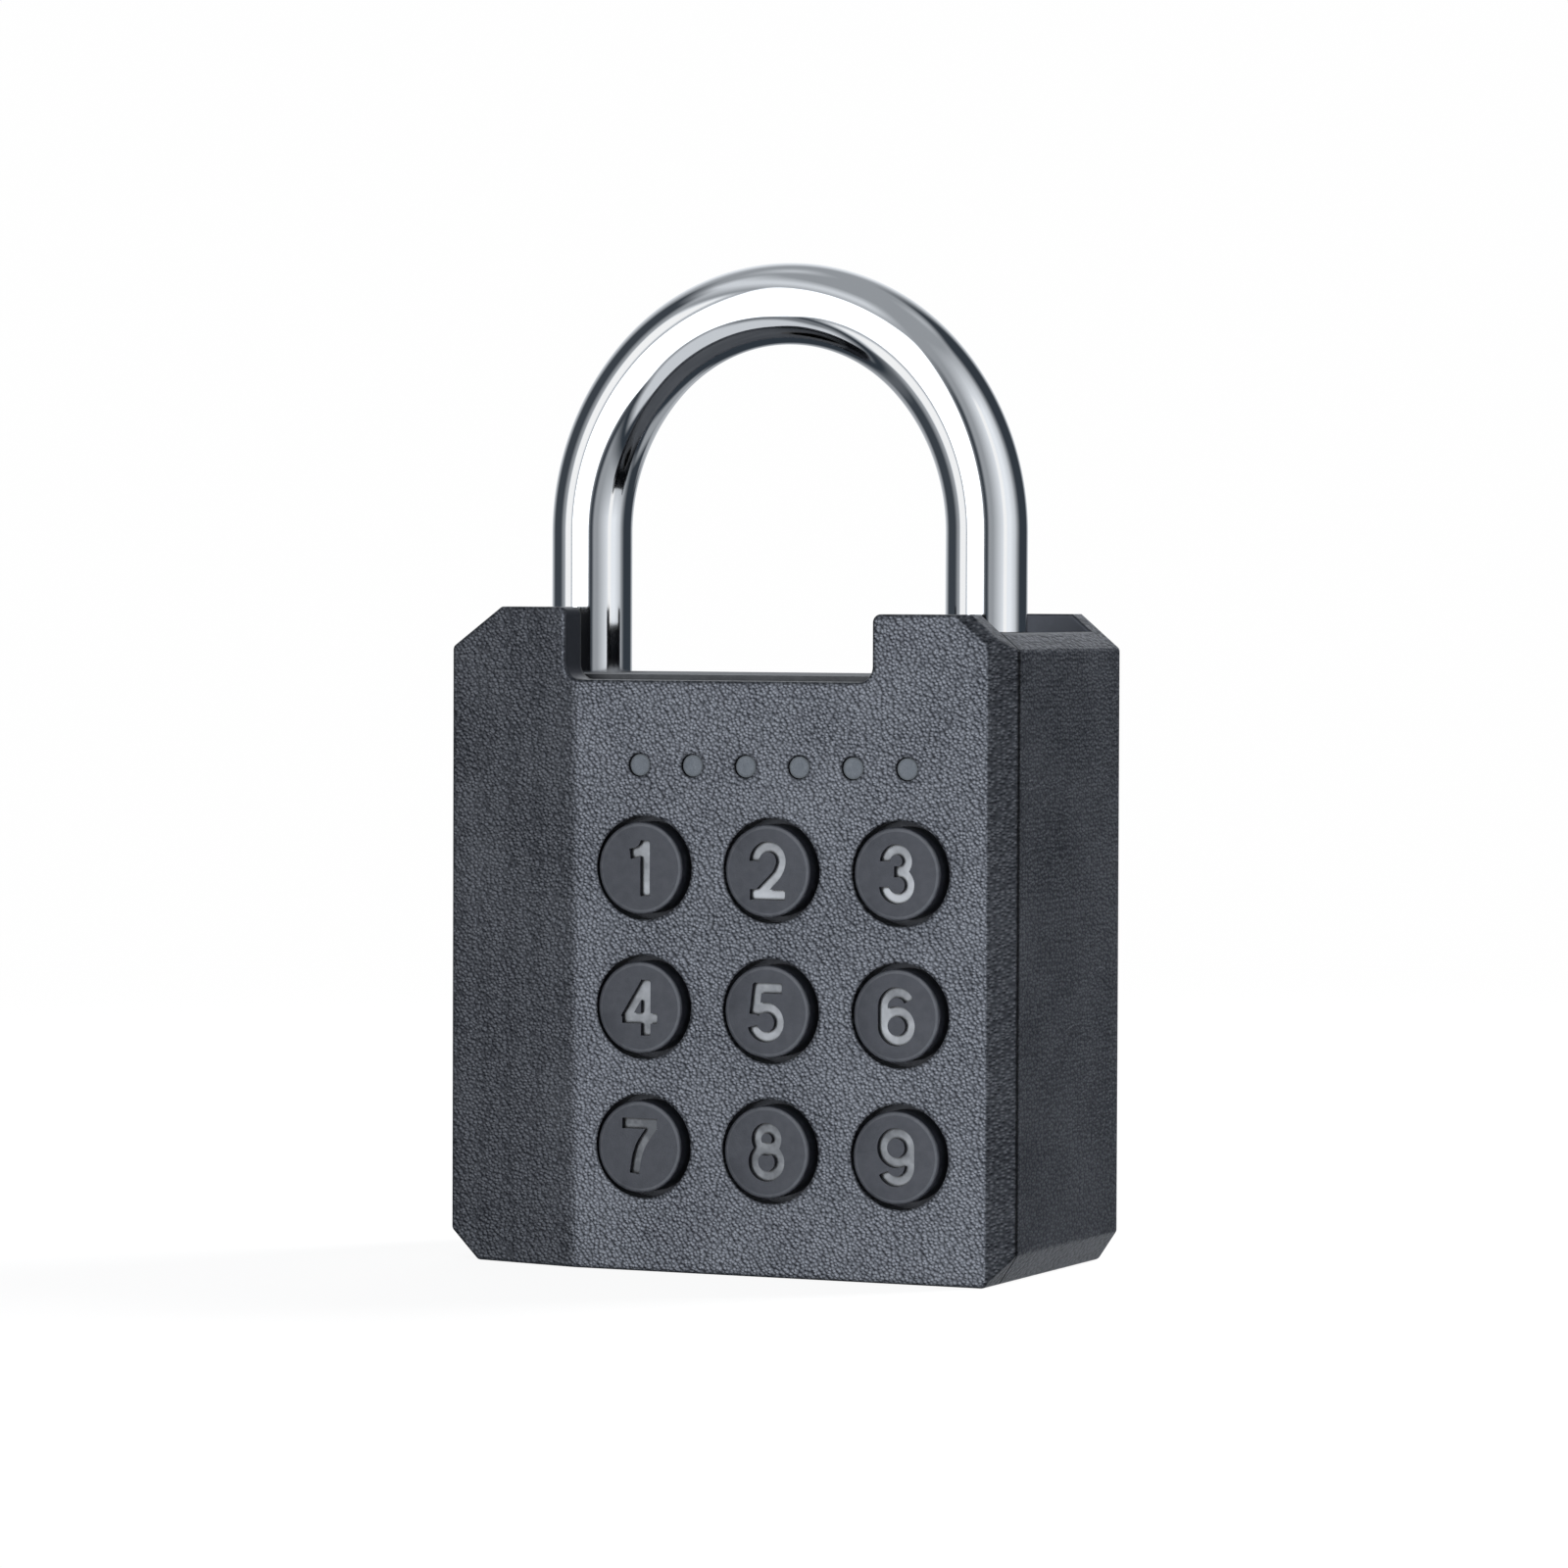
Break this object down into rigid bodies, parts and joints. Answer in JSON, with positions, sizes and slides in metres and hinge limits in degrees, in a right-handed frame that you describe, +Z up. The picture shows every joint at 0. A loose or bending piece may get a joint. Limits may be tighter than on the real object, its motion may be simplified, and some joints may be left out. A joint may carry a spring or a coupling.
{
  "type": "smart padlock",
  "caption": "Keypad padlock: a chamfered box body with round number keys, a row of light windows and a round-bar shackle that a motor-driven bolt locks.",
  "frame": {"origin": "middle of the flat base, halfway between the faces of the key caps and the back face", "axes": "+Z up along the shackle legs, +Y towards the back, away from the keypad, +X towards the long heel leg, on the right seen from the front"},
  "size_m": [0.06, 0.031, 0.0982],
  "materials": {
    "casting_finish": "dark grey textured powder coat",
    "chassis_finish": "black coated zinc casting",
    "shackle_chrome": "polished chrome plate",
    "key_caps": "smooth satin dark grey",
    "steel": "bright zinc plated",
    "contact_metal": "nickel plated spring brass",
    "pinion_brass": "cut brass",
    "rubber": "black moulded rubber",
    "board": "green solder mask",
    "switch_body": "black moulded",
    "switch_plunger": "white moulded",
    "led_white": "pale moulded body",
    "guide_clear": "smoked clear moulding",
    "cell_sleeve": "plain blue sleeve"
  },
  "bodies": {
    "lock": {"front_cover": "casting_finish", "rear_housing": "casting_finish", "cover_gasket": "rubber", "lock_chassis": "chassis_finish", "toe_seal": "rubber", "heel_seal": "rubber", "heel_pin": "steel", "shackle_spring": "steel", "gear_motor": "steel", "gearbox": "steel", "main_board": "board", "light_guide": "guide_clear", "battery": "cell_sleeve", "lower_contact": "contact_metal", "upper_contact": "contact_metal", "charge_socket": "steel", "cover_screws": "steel", "board_screws": "steel", "chassis_screw": "steel", "switch_1": "switch_body", "switch_2": "switch_body", "switch_3": "switch_body", "switch_4": "switch_body", "switch_5": "switch_body", "switch_6": "switch_body", "switch_7": "switch_body", "switch_8": "switch_body", "switch_9": "switch_body", "indicator_led_1": "led_white", "indicator_led_2": "led_white", "indicator_led_3": "led_white", "indicator_led_4": "led_white", "indicator_led_5": "led_white", "indicator_led_6": "led_white"},
    "shackle": {"shackle": "shackle_chrome"},
    "bolt": {"lock_bolt": "steel"},
    "pinion": {"drive_pinion": "pinion_brass", "output_shaft": "steel"},
    "plug": {"port_plug": "rubber"},
    "key_1": {"key_1": "key_caps", "switch_plunger_1": "switch_plunger"},
    "key_2": {"key_2": "key_caps", "switch_plunger_2": "switch_plunger"},
    "key_3": {"key_3": "key_caps", "switch_plunger_3": "switch_plunger"},
    "key_4": {"key_4": "key_caps", "switch_plunger_4": "switch_plunger"},
    "key_5": {"key_5": "key_caps", "switch_plunger_5": "switch_plunger"},
    "key_6": {"key_6": "key_caps", "switch_plunger_6": "switch_plunger"},
    "key_7": {"key_7": "key_caps", "switch_plunger_7": "switch_plunger"},
    "key_8": {"key_8": "key_caps", "switch_plunger_8": "switch_plunger"},
    "key_9": {"key_9": "key_caps", "switch_plunger_9": "switch_plunger"}
  },
  "joints": [
    {"name": "shackle_slide", "type": "slide", "parent": "lock", "child": "shackle", "axis": [0, 0, 1], "range_m": [0, 0.015], "deforming": ["shackle_spring"]},
    {"name": "bolt_slide", "type": "slide", "parent": "lock", "child": "bolt", "axis": [1, 0, 0], "range_m": [-0.003, 0]},
    {"name": "pinion_turn", "type": "hinge", "parent": "lock", "child": "pinion", "pos_m": [0.006, 0.00735, 0.048], "axis": [0, 0, 1], "range_deg": [-57.4, 0]},
    {"name": "plug_slide", "type": "slide", "parent": "lock", "child": "plug", "axis": [0, 0, -1], "range_m": [0, 0.008]},
    {"name": "key_1_press", "type": "slide", "parent": "lock", "child": "key_1", "axis": [0, 1, 0], "range_m": [0, 0.0005], "stiffness_N_per_m": 400, "springref_m": -0.0005},
    {"name": "key_2_press", "type": "slide", "parent": "lock", "child": "key_2", "axis": [0, 1, 0], "range_m": [0, 0.0005], "stiffness_N_per_m": 400, "springref_m": -0.0005},
    {"name": "key_3_press", "type": "slide", "parent": "lock", "child": "key_3", "axis": [0, 1, 0], "range_m": [0, 0.0005], "stiffness_N_per_m": 400, "springref_m": -0.0005},
    {"name": "key_4_press", "type": "slide", "parent": "lock", "child": "key_4", "axis": [0, 1, 0], "range_m": [0, 0.0005], "stiffness_N_per_m": 400, "springref_m": -0.0005},
    {"name": "key_5_press", "type": "slide", "parent": "lock", "child": "key_5", "axis": [0, 1, 0], "range_m": [0, 0.0005], "stiffness_N_per_m": 400, "springref_m": -0.0005},
    {"name": "key_6_press", "type": "slide", "parent": "lock", "child": "key_6", "axis": [0, 1, 0], "range_m": [0, 0.0005], "stiffness_N_per_m": 400, "springref_m": -0.0005},
    {"name": "key_7_press", "type": "slide", "parent": "lock", "child": "key_7", "axis": [0, 1, 0], "range_m": [0, 0.0005], "stiffness_N_per_m": 400, "springref_m": -0.0005},
    {"name": "key_8_press", "type": "slide", "parent": "lock", "child": "key_8", "axis": [0, 1, 0], "range_m": [0, 0.0005], "stiffness_N_per_m": 400, "springref_m": -0.0005},
    {"name": "key_9_press", "type": "slide", "parent": "lock", "child": "key_9", "axis": [0, 1, 0], "range_m": [0, 0.0005], "stiffness_N_per_m": 400, "springref_m": -0.0005}
  ],
  "couplings": [
    {"joint": "pinion_turn", "follows": "bolt_slide", "rad_per_m": 333.33}
  ]
}
